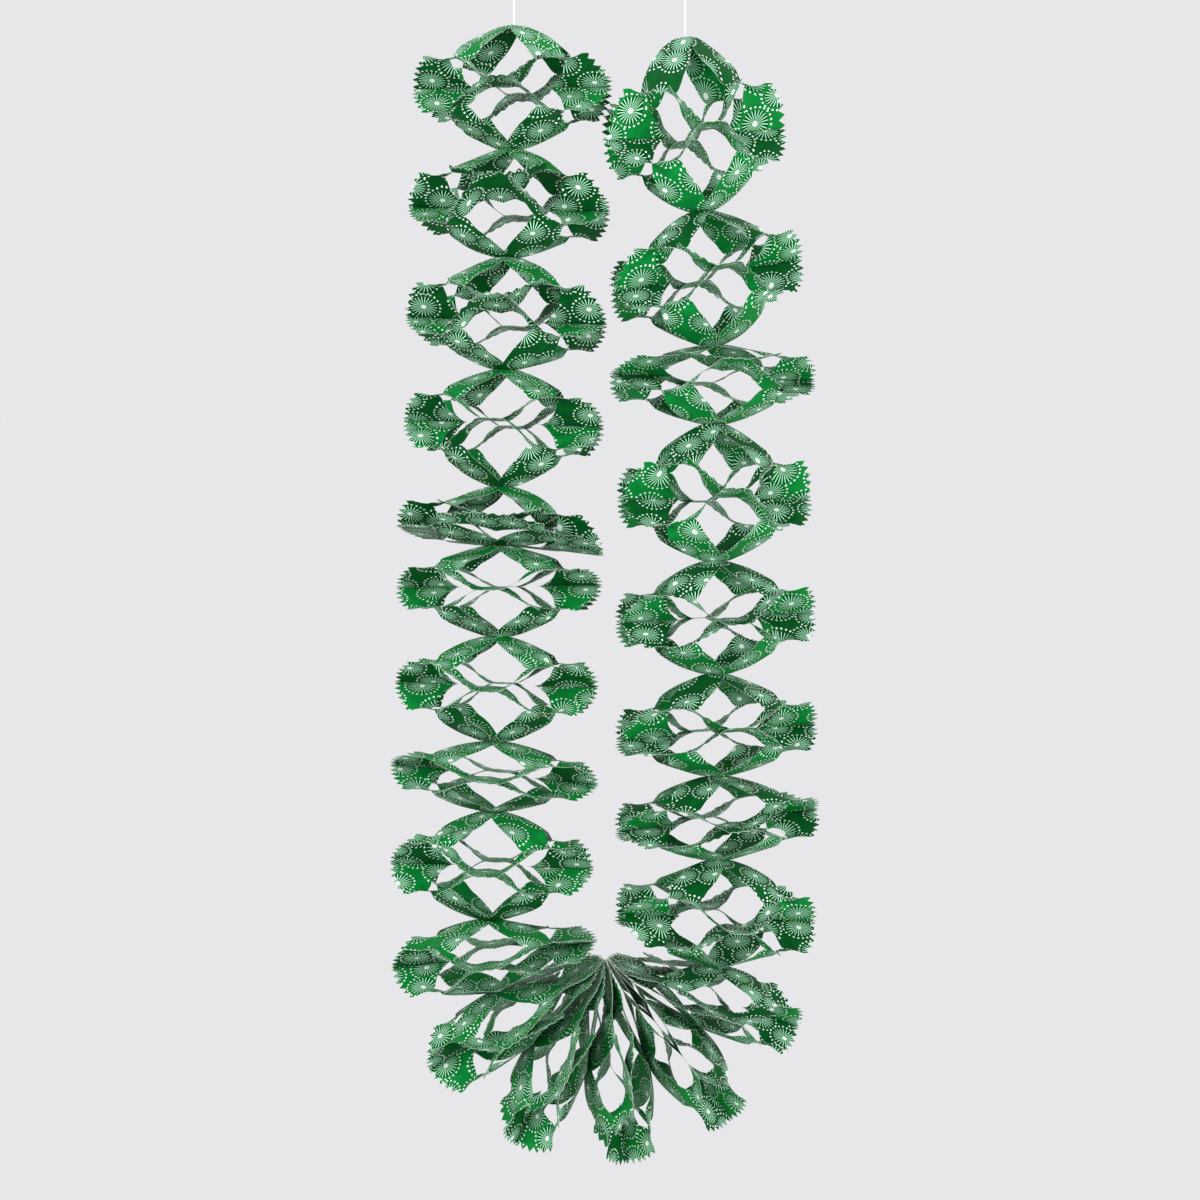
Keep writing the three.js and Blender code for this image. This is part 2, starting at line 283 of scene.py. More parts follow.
def petal_half_width(cut, along):
    """Half width of a petal. Inside the centre it reaches the fan's axis. From where two petals part it
    is a parabola up to the belly and a second one down to the slit's end, then a straight neck to the
    blunt end."""
    parting = cut.centre_corner / math.sqrt(2)
    inner = (cut.belly_at - along) / (cut.belly_at - parting)
    outer = (along - cut.belly_at) / (cut.slit_end_at - cut.belly_at)
    neck = (along - cut.slit_end_at) / (cut.petal_end_at - cut.slit_end_at)
    return np.select(
        [along <= parting, along <= cut.belly_at, along <= cut.slit_end_at],
        [
            along,
            cut.belly_half - (cut.belly_half - parting) * inner**2,
            cut.belly_half - (cut.belly_half - cut.slit_end_half) * outer**2,
        ],
        cut.slit_end_half - (cut.slit_end_half - cut.petal_end_half) * neck,
    )


def half_petal(cut):
    """Half a petal with its part of the centre: rows along the diagonal, columns from it out to the
    petal's edge."""
    parting = cut.centre_corner / math.sqrt(2)
    along = np.concatenate([
        np.linspace(0, parting, CENTRE_STEPS + 1)[:-1],
        np.linspace(parting, cut.slit_end_at, SLIT_STEPS + 1)[:-1],
        np.linspace(cut.slit_end_at, cut.petal_end_at, NECK_STEPS + 1),
    ])
    across = petal_half_width(cut, along)[:, None] * np.linspace(0, 1, PETAL_COLUMNS + 1)
    return on_diagonal(along[:, None], across)


def fan_edge(cut, steps):
    """Toothed outer edge of half a fan: a zigzag between the teeth's feet and their tips, by the angle
    from the fan's axis. Towards the corner the teeth get shallower and end nearer the centre, by the
    angle's square."""
    turn = np.linspace(0, 1, steps + 1)
    depth = cut.tooth_depth + (cut.corner_tooth_depth - cut.tooth_depth) * turn**2
    radius = cut.fan_tip - cut.fan_rounding * turn**2 - depth * np.abs((turn * cut.teeth) % 1 - 0.5) * 2
    return radius * np.cos(turn * cut.fan_half_angle), radius * np.sin(turn * cut.fan_half_angle)


def half_fan(cut):
    """Half a fan: each row runs straight from its inner edge to its toothed edge. The inner edge follows
    the petal across a slit that narrows to its end, then the neck, then the straight side of the
    notch."""
    parting = cut.centre_corner / math.sqrt(2)
    done = np.linspace(0, 1, SLIT_STEPS + 1)[:-1]
    slit_along = parting + (cut.slit_end_at - parting) * done
    slit_u, slit_v = on_diagonal(slit_along, petal_half_width(cut, slit_along))
    slit_u = slit_u + (cut.fan_root - cut.centre_corner) * (1 - done) ** SLIT_TAPER
    neck_along = np.linspace(cut.slit_end_at, cut.petal_end_at, NECK_STEPS + 1)
    neck_u, neck_v = on_diagonal(neck_along, petal_half_width(cut, neck_along))
    edge_u, edge_v = fan_edge(cut, SLIT_STEPS + NECK_STEPS + NOTCH_STEPS)
    notch = np.linspace(0, 1, NOTCH_STEPS + 1)[1:]
    notch_u = neck_u[-1] + (edge_u[-1] - neck_u[-1]) * notch
    notch_v = neck_v[-1] + (edge_v[-1] - neck_v[-1]) * notch
    inner_u = np.concatenate([slit_u, neck_u, notch_u])[:, None]
    inner_v = np.concatenate([slit_v, neck_v, notch_v])[:, None]
    outwards = np.linspace(0, 1, FAN_COLUMNS + 1)
    return inner_u + (edge_u[:, None] - inner_u) * outwards, inner_v + (edge_v[:, None] - inner_v) * outwards


def grid_triangles(rows, columns):
    """Two triangles for each square of a grid of points."""
    corner = (np.arange(rows - 1)[:, None] * columns + np.arange(columns - 1)).ravel()
    first = np.stack([corner, corner + columns, corner + columns + 1], axis=1)
    second = np.stack([corner, corner + columns + 1, corner + 1], axis=1)
    return np.concatenate([first, second])


class Net(NamedTuple):
    """The flat sheet: each point's fan coordinates, fan, side and whether it is on a petal, and the
    triangles."""

    u: np.ndarray
    v: np.ndarray
    fan: np.ndarray
    side: np.ndarray
    petal: np.ndarray
    triangles: np.ndarray


def cut_sheet(cut):
    """The whole flat sheet: half a petal and half a fan, mirrored and turned to eight places, with the
    points that lie together joined and the empty triangles dropped. Its triangles run anticlockwise."""
    parts = []
    faces = []
    points = 0
    for fan in range(4):
        for side in (1, -1):
            for petal, (u, v) in ((True, half_petal(cut)), (False, half_fan(cut))):
                triangles = grid_triangles(*u.shape)
                faces.append(points + (triangles[:, ::-1] if side == 1 else triangles))
                marks = (np.full(u.size, value) for value in (fan, side, petal))
                parts.append([u.ravel(), v.ravel(), *marks])
                points += u.size
    u, v, fan, side, petal = (np.concatenate(part) for part in zip(*parts))
    places = np.stack(turned(u, v * side, fan * QUARTER), axis=1)
    steps = np.round(places / JOIN_GAP)
    _, kept, joined = np.unique(steps, axis=0, return_index=True, return_inverse=True)
    triangles = joined.ravel()[np.concatenate(faces)]
    a, b, c = triangles.T
    whole = triangles[(a != b) & (b != c) & (c != a)]
    return Net(u[kept], v[kept], fan[kept], side[kept], petal[kept], whole)


# The opened sheet

STEEPEST = 88 * DEGREE
SLOPE_STEPS = 400
SOFTNESS = 6
NEAR_ROUNDING = 12 * MM
CURL_START = 42 * MM
WAVES = 5
WAVE_SPANS = (55, 130)
WAVE_GAIN = 1.6
TINY = 1e-6
# Glue planes from the turn's start where its left tilt begins, is full and starts to pass into the right
# one, and how many planes after the turn that one takes to ease off
TILT_PLANES = (-2, 1, 6)
TILT_EASE = 2


def bent_run(distance, glued, bend, slope):
    """How far out and how far down a strip of paper reaches, at a distance along it. It lies flat where
    it is glued, turns down through a round bend and runs on straight at the slope. The bend tightens as
    the slope grows."""
    bend = bend * (1 - slope / QUARTER)
    inside = np.clip(distance - glued, 0, bend)
    beyond = np.maximum(distance - glued - bend, 0)
    turn = slope * inside / bend
    radius = bend / np.maximum(slope, TINY)
    out = np.minimum(distance, glued) + radius * np.sin(turn) + beyond * np.cos(slope)
    down = radius * (1 - np.cos(turn)) + beyond * np.sin(slope)
    return out, down


def slope_for(drop, distance, glued, bend):
    """The slope at which a strip of that length comes down by the drop, read from a table of slopes."""
    slopes = np.linspace(0, STEEPEST, SLOPE_STEPS)
    return np.interp(drop, bent_run(distance, glued, bend, slopes)[1], slopes)


class Plane(NamedTuple):
    """A glue plane: its middle, the directions of its inner side and back along the row, the sheets'
    twist, and the slopes of the plane, of its near half and of its near fans."""

    middle: np.ndarray
    inner: np.ndarray
    back: np.ndarray
    twist: float
    slope: float
    near_slope: float
    near_curl: float


def on_plane(plane, x, y):
    """Points of a glue plane. Its near side leans back along the row by its slope. The near half leans
    further, through a rounded edge, and so do the near fans by their curl, from their roots on."""
    points = plane.middle + x[:, None] * plane.inner
    points[:, 1] += y
    beyond = y + CURL_START
    lean = plane.near_slope * (np.hypot(y, NEAR_ROUNDING) - y - NEAR_ROUNDING) / 2
    curl = plane.near_curl * (np.hypot(beyond, NEAR_ROUNDING) - beyond) / 2
    return points + (lean + curl - plane.slope * y)[:, None] * plane.back


def towards(heading):
    """The direction of a heading in the garland's upright plane."""
    return np.array([math.cos(heading), 0, math.sin(heading)])


def glue_planes(cut, row):
    """The glue planes in order: centre, fans, centre and so on, by a walk down the left run, round the
    turn and up the right run. Each step is a chord of the row's bend. The first plane lies at the foot of
    the left thread."""
    turn_height = (cut.fan_tip + row.turn_clearance) * row.turn_bend
    turn_cell = Cell(turn_height / row.cell_height, bend=row.turn_bend)
    cells = LEFT_CELLS + (turn_cell,) * row.turn_cells + RIGHT_CELLS
    left_foot = len(LEFT_CELLS) * 2
    marks = [0, left_foot, left_foot + row.turn_cells * 2, len(cells) * 2]
    turns = [row.twist_left_top, row.twist_left_foot, row.twist_right_foot, row.twist_right_top]
    twists = np.interp(np.arange(len(cells) * 2 + 1), marks, turns)
    leaning = [*(left_foot + plane for plane in TILT_PLANES), marks[2], marks[2] + TILT_EASE]
    leans = [0, row.turn_tilt_left, row.turn_tilt_left, row.turn_tilt_right, 0]
    slopes = np.tan(np.interp(np.arange(len(cells) * 2 + 1), leaning, leans))
    heading = -QUARTER - row.left_lean
    middle = thread_foot("left")
    steps = [(0, 0, 0, 0, 0)]
    for cell in cells:
        height = row.cell_height * cell.open
        steps.append((height * cell.share, cell.bend / 2, cell.tilt, cell.lift, cell.curl))
        steps.append((height * (1 - cell.share), cell.bend / 2, 0, cell.foot, 0))
    planes = []
    for (run, bend, tilt, lift, curl), twist, slope in zip(steps, twists, slopes):
        chord = run * np.sinc(bend / 2 / math.pi)
        middle = middle + chord * towards(heading + bend / 2)
        heading += bend
        inner = towards(heading + QUARTER - tilt)
        planes.append(Plane(middle, inner, -towards(heading), twist, slope, math.tan(lift), math.tan(curl)))
    return planes


def petal_run(cut, distance, slope):
    """How far in a point of a petal is pulled, and its share of the sheet's height, at a distance from
    the centre."""
    out, down = bent_run(distance, cut.petal_glued, cut.petal_bend, slope)
    _, whole = bent_run(cut.petal_end_at, cut.petal_glued, cut.petal_bend, slope)
    return distance - out, cut.petal_share * down / np.maximum(whole, TINY)


def petal_lean(cut, along, across, at_side, slope):
    """How much further out a point of a petal counts: a part of the way across it, which grows along the
    petal and shrinks with its slope, taken off on the side fan's side."""
    turned_by = cut.petal_lean * np.cos(slope) * along / cut.petal_end_at
    return np.where(at_side, -turned_by, turned_by) * across


def petal_map(cut, u, v, at_side, slope):
    """Where the points of a petal go. Distance from the centre is the power mean of the distances along
    this petal's diagonal and the next one's, so the centre is soft between two petals. The lean then
    raises the petal towards the side fan and lowers it towards the other, more so further out. Each point
    is pulled in along the mean's gradient. Gives u, v and the share of the sheet's height."""
    along = (u + v) / math.sqrt(2)
    across = np.maximum((u - v) / math.sqrt(2), 0)
    mean = np.maximum((along**SOFTNESS + across**SOFTNESS) ** (1 / SOFTNESS), TINY)
    pulled, height = petal_run(cut, mean + petal_lean(cut, along, across, at_side, slope), slope)
    own = (along / mean) ** (SOFTNESS - 1)
    other = (across / mean) ** (SOFTNESS - 1)
    pull_u, pull_v = on_diagonal(own * pulled, other * pulled)
    return u - pull_u, v - pull_v, height


def neck_run(cut, at_side, slope):
    """The pull and the height share of a petal's end where it meets a fan."""
    lean = petal_lean(cut, cut.petal_end_at, cut.petal_end_half, at_side, slope)
    return petal_run(cut, cut.petal_end_at + lean, slope)


def fan_map(cut, u, v, strip, slope, neck_height, pulled_in):
    """Where the points of half a fan go: the whole fan moves in with its petals' ends, and its height
    runs from the glued middle line down to the neck. Gives u, v and the share of the sheet's height."""
    neck_v = (cut.petal_end_at - cut.petal_end_half) / math.sqrt(2)
    out, down = bent_run(v, *strip, slope)
    neck_out, neck_down = bent_run(neck_v, *strip, slope)
    narrowed = (v - out) / np.maximum(neck_v - neck_out, TINY)
    height = 1 - (1 - neck_height) * down / np.maximum(neck_down, TINY)
    return u - pulled_in, v - pulled_in * narrowed, height


def neck_falloff(cut, u, v):
    """One at the neck between the slit's end and the petal's end, easing to nothing at the neck's reach."""
    start = np.array(on_diagonal(cut.slit_end_at, cut.slit_end_half))
    neck = np.array(on_diagonal(cut.petal_end_at, cut.petal_end_half)) - start
    point = np.stack([u, v], axis=1) - start
    nearest = np.clip(point @ neck / (neck @ neck), 0, 1)
    gap = np.linalg.norm(point - nearest[:, None] * neck, axis=1)
    near = np.clip(1 - gap / cut.neck_reach, 0, 1)
    return near**2 * (3 - 2 * near)


def waviness(x, y, random):
    """Slow waves over the flat sheet: a sum of a few sines in random directions, between about -1 and 1."""
    heading = random.uniform(0, 2 * math.pi, WAVES)
    span = random.uniform(*WAVE_SPANS, WAVES) * MM
    phase = random.uniform(0, 2 * math.pi, WAVES)
    ahead = np.outer(x, np.cos(heading)) + np.outer(y, np.sin(heading))
    return np.sin(ahead * 2 * math.pi / span + phase).mean(axis=1) * WAVE_GAIN


def open_sheet(cut, net, centre_plane, fan_plane, far_plane, random):
    """Points of one opened sheet. The room between its two planes at each point sets the slopes of its
    petals and fans. Petals and fans meet half way at the necks. The height share then places each point
    between the plane of the sheet's centre and the plane of its fans, and the waves move it a little
    between them."""
    quarter = net.fan * QUARTER
    flat = turned(net.u, net.v * net.side, quarter)
    spot = turned(*flat, (centre_plane.twist + fan_plane.twist) / 2)
    fan_points = on_plane(fan_plane, *spot)
    room = np.linalg.norm(fan_points - on_plane(centre_plane, *spot), axis=1)
    pair_room = (room + np.linalg.norm(fan_points - on_plane(far_plane, *spot), axis=1)) / 2

    petal_strip = (cut.petal_end_at, cut.petal_glued, cut.petal_bend)
    petal_slope = slope_for(cut.petal_share * room, *petal_strip)
    pair_slope = slope_for(cut.petal_share * pair_room, *petal_strip)
    at_side = net.fan % 2 == 0
    pulled_in = neck_run(cut, at_side, pair_slope)[0] / math.sqrt(2)
    neck_height = neck_run(cut, at_side, petal_slope)[1]
    neck_v = (cut.petal_end_at - cut.petal_end_half) / math.sqrt(2)
    side_strip = np.array([cut.side_fan_glued, cut.side_fan_bend])
    near_strip = np.array([cut.near_fan_glued, cut.near_fan_bend])
    fan_drop = (1 - neck_height) * room
    side_slope = slope_for(fan_drop, neck_v, *side_strip)
    near_slope = slope_for(fan_drop, neck_v, *near_strip)
    fan_slope = np.where(at_side, side_slope, near_slope)
    strip = np.where(at_side, side_strip[:, None], near_strip[:, None])

    on_petal = np.stack(petal_map(cut, net.u, net.v, at_side, petal_slope))
    on_fan = np.stack(fan_map(cut, net.u, net.v, strip, fan_slope, neck_height, pulled_in))
    blend = neck_falloff(cut, net.u, net.v) / 2
    u, v, height = on_petal + np.where(net.petal, blend, 1 - blend) * (on_fan - on_petal)
    height = height + 4 * height * (1 - height) * cut.unevenness * waviness(*flat, random)

    twist = centre_plane.twist + (fan_plane.twist - centre_plane.twist) * height
    x, y = turned(u, v * net.side, quarter + twist)
    start = on_plane(centre_plane, x, y)
    run = on_plane(fan_plane, x, y) - start
    span = np.linalg.norm(run, axis=1)
    seat = (cut.glue + cut.thickness) / 2
    place = (seat + height * (span - 2 * seat)) / span
    return start + run * place[:, None], np.stack(flat, axis=1)


# Meshes

PRINT_MAP = "flat_print"


def new_piece(name, points, triangles, materials, slot, *nodes):
    """A smooth mesh object that rides on the garland and stands for its CAD nodes."""
    mesh = bpy.data.meshes.new(name)
    mesh.vertices.add(len(points))
    mesh.vertices.foreach_set("co", points.astype(np.float32).ravel())
    mesh.loops.add(triangles.size)
    mesh.loops.foreach_set("vertex_index", triangles.astype(np.int32).ravel())
    mesh.polygons.add(len(triangles))
    mesh.polygons.foreach_set("loop_start", np.arange(0, triangles.size, 3, dtype=np.int32))
    mesh.update(calc_edges=True)
    mesh.shade_smooth()
    for material in materials:
        mesh.materials.append(material)
    piece = bpy.data.objects.new(name, mesh)
    bpy.context.scene.collection.objects.link(piece)
    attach(piece, BODY)
    if nodes:
        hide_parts(*nodes)
    return piece


def sharpen_rim(mesh, triangles):
    """Marks the edges that only one triangle has as sharp, so that the cut edge shades apart from the
    faces."""
    key = np.array([len(mesh.vertices), 1])
    pairs = np.sort(triangles[:, [0, 1, 1, 2, 2, 0]].reshape(-1, 2), axis=1)
    keys, uses = np.unique(pairs @ key, return_counts=True)
    ends = np.empty(len(mesh.edges) * 2, dtype=np.int32)
    mesh.edges.foreach_get("vertices", ends)
    edge_keys = np.sort(ends.reshape(-1, 2), axis=1) @ key
    mesh.edges.foreach_set("use_edge_sharp", np.isin(edge_keys, keys[uses == 1]))


def print_map(mesh, triangles, places):
    """Lays the flat sheet's own places on the mesh as a map, for the print."""
    layer = mesh.uv_layers.new(name=PRINT_MAP)
    layer.uv.foreach_set("vector", places[triangles.ravel()].astype(np.float32).ravel())


def closed_grid(rings):
    """Points and triangles of a tube given as rings of points, closed at both ends by the rings' middles."""
    rows, columns = rings.shape[:2]
    wrapped = np.arange(rows)[:, None] * columns + np.arange(columns + 1) % columns
    triangles = wrapped.ravel()[grid_triangles(rows, columns + 1)]
    points = np.concatenate([rings.reshape(-1, 3), rings[:1].mean(axis=1), rings[-1:].mean(axis=1)])
    first = np.stack([wrapped[0, :-1], wrapped[0, 1:], np.full(columns, rows * columns)], axis=1)
    final = np.stack([wrapped[-1, 1:], wrapped[-1, :-1], np.full(columns, rows * columns + 1)], axis=1)
    return points, np.concatenate([triangles, first, final])


def ring_grid(rings):
    """Points and triangles of a tube whose last ring meets its first."""
    rows, columns = rings.shape[:2]
    wrapped = (np.arange(rows + 1)[:, None] % rows) * columns + np.arange(columns + 1) % columns
    return rings.reshape(-1, 3), wrapped.ravel()[grid_triangles(rows + 1, columns + 1)]


PLIES = 3
THREAD_COLUMNS = 24
THREAD_STEPS = 160
LOOP_STEPS = 240
KNOT_STEPS = 48
KNOT_WINDS = 3
KNOT_RIDGE = 0.2
KNOT_END = 0.02
TAIL_STEPS = 40
TAIL_OUT = 0.55
TAIL_DOWN = 0.8
TAIL_THINNING = 0.9
ASIDE = np.array([0.0, 1.0, 0.0])


def thread_rings(path, thread, radius):
    """Rings of a twisted thread along a path in the garland's upright plane: at each point, a round
    profile with a lobe for each ply, turned by the distance along the path."""
    ahead = np.gradient(path, axis=0)
    ahead = ahead / np.linalg.norm(ahead, axis=1)[:, None]
    done = np.concatenate([[0], np.cumsum(np.linalg.norm(np.diff(path, axis=0), axis=1))])
    up = np.cross(ASIDE, ahead)
    around = np.linspace(0, 2 * math.pi, THREAD_COLUMNS, endpoint=False)
    lobes = np.abs(np.cos((around - done[:, None] * 2 * math.pi / thread.ply_pitch) * PLIES / 2))
    reach = radius * (1 - thread.ply_depth * (1 - lobes))
    across = np.cos(around)[:, None] * ASIDE + np.sin(around)[:, None] * up[:, None]
    return path[:, None] + reach[..., None] * across


def node_box(node):
    """Lowest and highest corner of a CAD node."""
    low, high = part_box(node)
    return np.array(low), np.array(high)


def thread_foot(side):
    """Where a thread meets the paper: under the middle of its CAD solid."""
    low, high = node_box(f"thread_{side}")
    return np.array([*(low + high)[:2] / 2, low[2]])


def thread_path(side):
    """The straight hanging thread, from the paper up to the knot under its loop."""
    foot = thread_foot(side)
    rise = node_box(f"thread_{side}")[1][2] - foot[2]
    return foot + np.linspace(0, rise, THREAD_STEPS)[:, None] * np.array([0, 0, 1])


def thread_radius(side):
    """Radius of a thread's CAD solid."""
    low, high = node_box(f"thread_{side}")
    return (high[1] - low[1]) / 2


def loop_path(side):
    """A hanging loop: a teardrop, round at the top and closed to a point at the knot."""
    low, high = node_box(f"loop_{side}")
    radius = (high[2] - low[2]) / 2 - thread_radius(side)
    turn = np.linspace(0, 2 * math.pi, LOOP_STEPS, endpoint=False)
    teardrop = np.stack([np.sin(turn) * np.sin(turn / 2), 0 * turn, -np.cos(turn)], axis=1)
    return (low + high) / 2 + radius * teardrop


def knot_rings(middle, thread):
    """A wound knot: a barrel that closes at both ends, with a ridge that climbs round it."""
    rise = np.linspace(-1, 1, KNOT_STEPS)[:, None]
    around = np.linspace(0, -2 * math.pi, THREAD_COLUMNS, endpoint=False)
    barrel = np.sqrt(np.maximum(1 - rise**4, KNOT_END))
    ridge = 1 - KNOT_RIDGE * (1 - np.abs(np.cos(KNOT_WINDS / 2 * math.pi * rise - around / 2)))
    reach = thread.knot_radius * barrel * ridge
    height = np.broadcast_to(rise * thread.knot_height / 2, reach.shape)
    return middle + np.stack([reach * np.cos(around), reach * np.sin(around), height], axis=2)


def tail_path(middle, thread, way):
    """The cut end: it leaves the knot sideways by a quarter sine and bends down by a parabola."""
    done = np.linspace(0, 1, TAIL_STEPS)
    out = way * thread.tail * TAIL_OUT * np.sin(done * QUARTER)
    return middle + np.stack([out, 0 * done, -thread.tail * TAIL_DOWN * done**2], axis=1)


# Materials

INK_EDGE = 0.07 * MM
WEDGE_EDGE = 0.03
GROUND_SHADE = 0.3
# Noise, as its scale and detail
MOTTLE_NOISE = (3.0, 4.0)
TOOTH_NOISE = (90.0, 3.0)
CORE_NOISE = (900.0, 2.0)
COTTON_NOISE = (2600.0, 4.0)
FLOOR_NOISE = (60.0, 3.0)
# The part of a noise that colour or roughness follows
MOTTLE_SPAN = (0.3, 0.7)
GLOSS_SPAN = (0.25, 0.75)
FIBRE_SPAN = (0.2, 0.8)
# A colour's darkest and lightest shade
PAPER_SHADES = (0.86, 1.12)
CORE_SHADES = (0.8, 1.15)
COTTON_SHADES = (0.86, 1.08)
FLOOR_SHADES = (0.98, 1.02)
# Finish: roughness, gloss, sheen, and a bump's strength and height
PAPER_ROUGHNESS = (0.48, 0.58)
CORE_ROUGHNESS = (0.7, 0.9)
COTTON_ROUGHNESS = (0.75, 0.92)
FLOOR_ROUGHNESS = 0.8
PAPER_GLOSS = 0.08
FLOOR_GLOSS = 0.1
COTTON_SHEEN = 0.2
TOOTH_BUMP = (0.06, 0.1 * MM)
COTTON_BUMP = (0.4, 0.15 * MM)


class Nodes:
    """A short way to add and link nodes in one tree."""

    def __init__(self, tree):
        self.tree = tree

    def add(self, kind, **values):
        """A new node with its options set."""
        node = self.tree.nodes.new(kind)
        for name, value in values.items():
            setattr(node, name, value)
        return node

    def put(self, socket, value):
        """Links another node's output to a socket, or sets the socket's own value."""
        if isinstance(value, bpy.types.NodeSocket):
            self.tree.links.new(value, socket)
        else:
            socket.default_value = value

    def filled(self, kind, inputs, **values):
        """A new node with its options set and its sockets filled in their order."""
        node = self.add(kind, **values)
        for socket, value in zip(node.inputs, inputs):
            self.put(socket, value)
        return node

    def named(self, kind, **inputs):
        """A new node with its sockets filled by their names."""
        node = self.add(kind)
        for name, value in inputs.items():
            self.put(node.inputs[name], value)
        return node

    def math(self, operation, *inputs):
        """One step of arithmetic."""
        return self.filled("ShaderNodeMath", inputs, operation=operation).outputs[0]

    def vector(self, operation, *inputs):
        """One step of vector arithmetic, as its node."""
        return self.filled("ShaderNodeVectorMath", inputs, operation=operation)

    def spread(self, value, low, high, first, second):
        """Eases from the first number to the second while the value goes from low to high."""
        inputs = (value, low, high, first, second)
        return self.filled("ShaderNodeMapRange", inputs, interpolation_type="SMOOTHSTEP").outputs[0]

    def mix(self, part, first, second):
        """A mix of two colours, on the node's colour sockets."""
        node = self.add("ShaderNodeMix", data_type="RGBA")
        self.put(node.inputs[0], part)
        self.put(node.inputs[6], first)
        self.put(node.inputs[7], second)
        return node.outputs[2]

    def noise(self, place, scale, detail):
        """Noise from nothing to one at a place."""
        return self.named("ShaderNodeTexNoise", Vector=place, Scale=scale, Detail=detail).outputs[0]

    def grain(self, scale, detail):
        """Noise through the piece's own space."""
        return self.noise(self.add("ShaderNodeTexCoord").outputs["Object"], scale, detail)

    def bump(self, height, strength, distance):
        """A bump normal from a height."""
        node = self.named("ShaderNodeBump", Height=height, Strength=strength, Distance=distance)
        return node.outputs[0]


def new_material(name):
    """An empty material, with its node helper and its principled shader."""
    material = bpy.data.materials.new(name)
    material.use_nodes = True
    return material, Nodes(material.node_tree), material.node_tree.nodes["Principled BSDF"]


def shade(tint, by):
    """A colour made lighter or darker, with its alpha."""
    return (*(min(part * by, 1) for part in tint), 1)


def shaded(nodes, part, tint, shades):
    """A colour between its darkest and its lightest shade, by the part."""
    darkest, lightest = (shade(tint, by) for by in shades)
    return nodes.mix(part, darkest, lightest)


def starburst_print(nodes, flat, ink):
    """Masks of the printed starbursts' deeper ground, rays and solid marks, on the flat sheet, measured
    in burst spacings. The nearest point of a jittered grid is a burst's middle. Round it, a ray is a
    narrow distance from one of the evenly turned lines, and a dot is a short distance from where such a
    line meets the ring."""
    unit = 1 / ink.burst_spacing
    edge = INK_EDGE * unit
    cells = nodes.add("ShaderNodeTexVoronoi", voronoi_dimensions="2D", feature="F1")
    nodes.put(cells.inputs["Vector"], flat)
    nodes.put(cells.inputs["Scale"], 1.0)
    nodes.put(cells.inputs["Randomness"], ink.burst_jitter)
    local = nodes.vector("SUBTRACT", flat, cells.outputs["Position"]).outputs[0]
    radius = nodes.vector("LENGTH", local).outputs["Value"]
    parts = nodes.add("ShaderNodeSeparateXYZ")
    nodes.put(parts.inputs[0], local)
    around = nodes.math("ARCTAN2", parts.outputs[1], parts.outputs[0])
    turn = nodes.math("MULTIPLY_ADD", around, ink.burst_rays / (2 * math.pi), cells.outputs["Color"])
    off_line = nodes.math("ABSOLUTE", nodes.math("SUBTRACT", nodes.math("FRACT", turn), 0.5))
    beside = nodes.math("MULTIPLY", nodes.math("MULTIPLY", off_line, radius), 2 * math.pi / ink.burst_rays)
    off_ring = nodes.math("SUBTRACT", radius, ink.ring_radius * unit)
    squares = nodes.math("MULTIPLY_ADD", off_ring, off_ring, nodes.math("MULTIPLY", beside, beside))
    off_dot = nodes.math("SQRT", squares)

    def within(value, limit):
        return nodes.spread(value, limit * unit - edge, limit * unit + edge, 1.0, 0.0)

    half_duty = ink.ray_duty / 2
    wedge = nodes.spread(off_line, half_duty - WEDGE_EDGE, half_duty + WEDGE_EDGE, 1.0, 0.0)
    ground = within(radius, ink.ray_length)
    rays = nodes.math("MINIMUM", nodes.math("MINIMUM", wedge, within(beside, ink.ray_half_width)), ground)
    marks = nodes.math("MAXIMUM", within(radius, ink.middle_radius), within(off_dot, ink.dot_radius))
    return ground, rays, marks


def paper_material(name, tint, ink):
    """Coated paper: a little mottled, with the starbursts in pale ink, an uneven gloss and a fine tooth."""
    material, nodes, shader = new_material(name)
    flat = nodes.add("ShaderNodeUVMap", uv_map=PRINT_MAP).outputs[0]
    mottle = nodes.noise(flat, *MOTTLE_NOISE)
    paper = shaded(nodes, nodes.spread(mottle, *MOTTLE_SPAN, 0.0, 1.0), tint, PAPER_SHADES)
    ground, rays, marks = starburst_print(nodes, flat, ink)
    deeper = nodes.mix(nodes.math("MULTIPLY", ground, ink.burst_ground), paper, shade(tint, GROUND_SHADE))
    rayed = nodes.mix(rays, deeper, shade(ink.ray_ink, 1))
    nodes.put(shader.inputs["Base Color"], nodes.mix(marks, rayed, shade(ink.ink, 1)))
    tooth = nodes.noise(flat, *TOOTH_NOISE)
    nodes.put(shader.inputs["Roughness"], nodes.spread(mottle, *GLOSS_SPAN, *PAPER_ROUGHNESS))
    nodes.put(shader.inputs["Normal"], nodes.bump(tooth, *TOOTH_BUMP))
    shader.inputs["Specular IOR Level"].default_value = PAPER_GLOSS
    return material


def core_material(ink):
    """The cut edge: pale fibres with a tint of the print."""
    material, nodes, shader = new_material("paper_cut_edge")
    fibres = nodes.grain(*CORE_NOISE)
    nodes.put(shader.inputs["Base Color"], shaded(nodes, fibres, ink.core, CORE_SHADES))
    nodes.put(shader.inputs["Roughness"], nodes.spread(fibres, *FIBRE_SPAN, *CORE_ROUGHNESS))
    return material


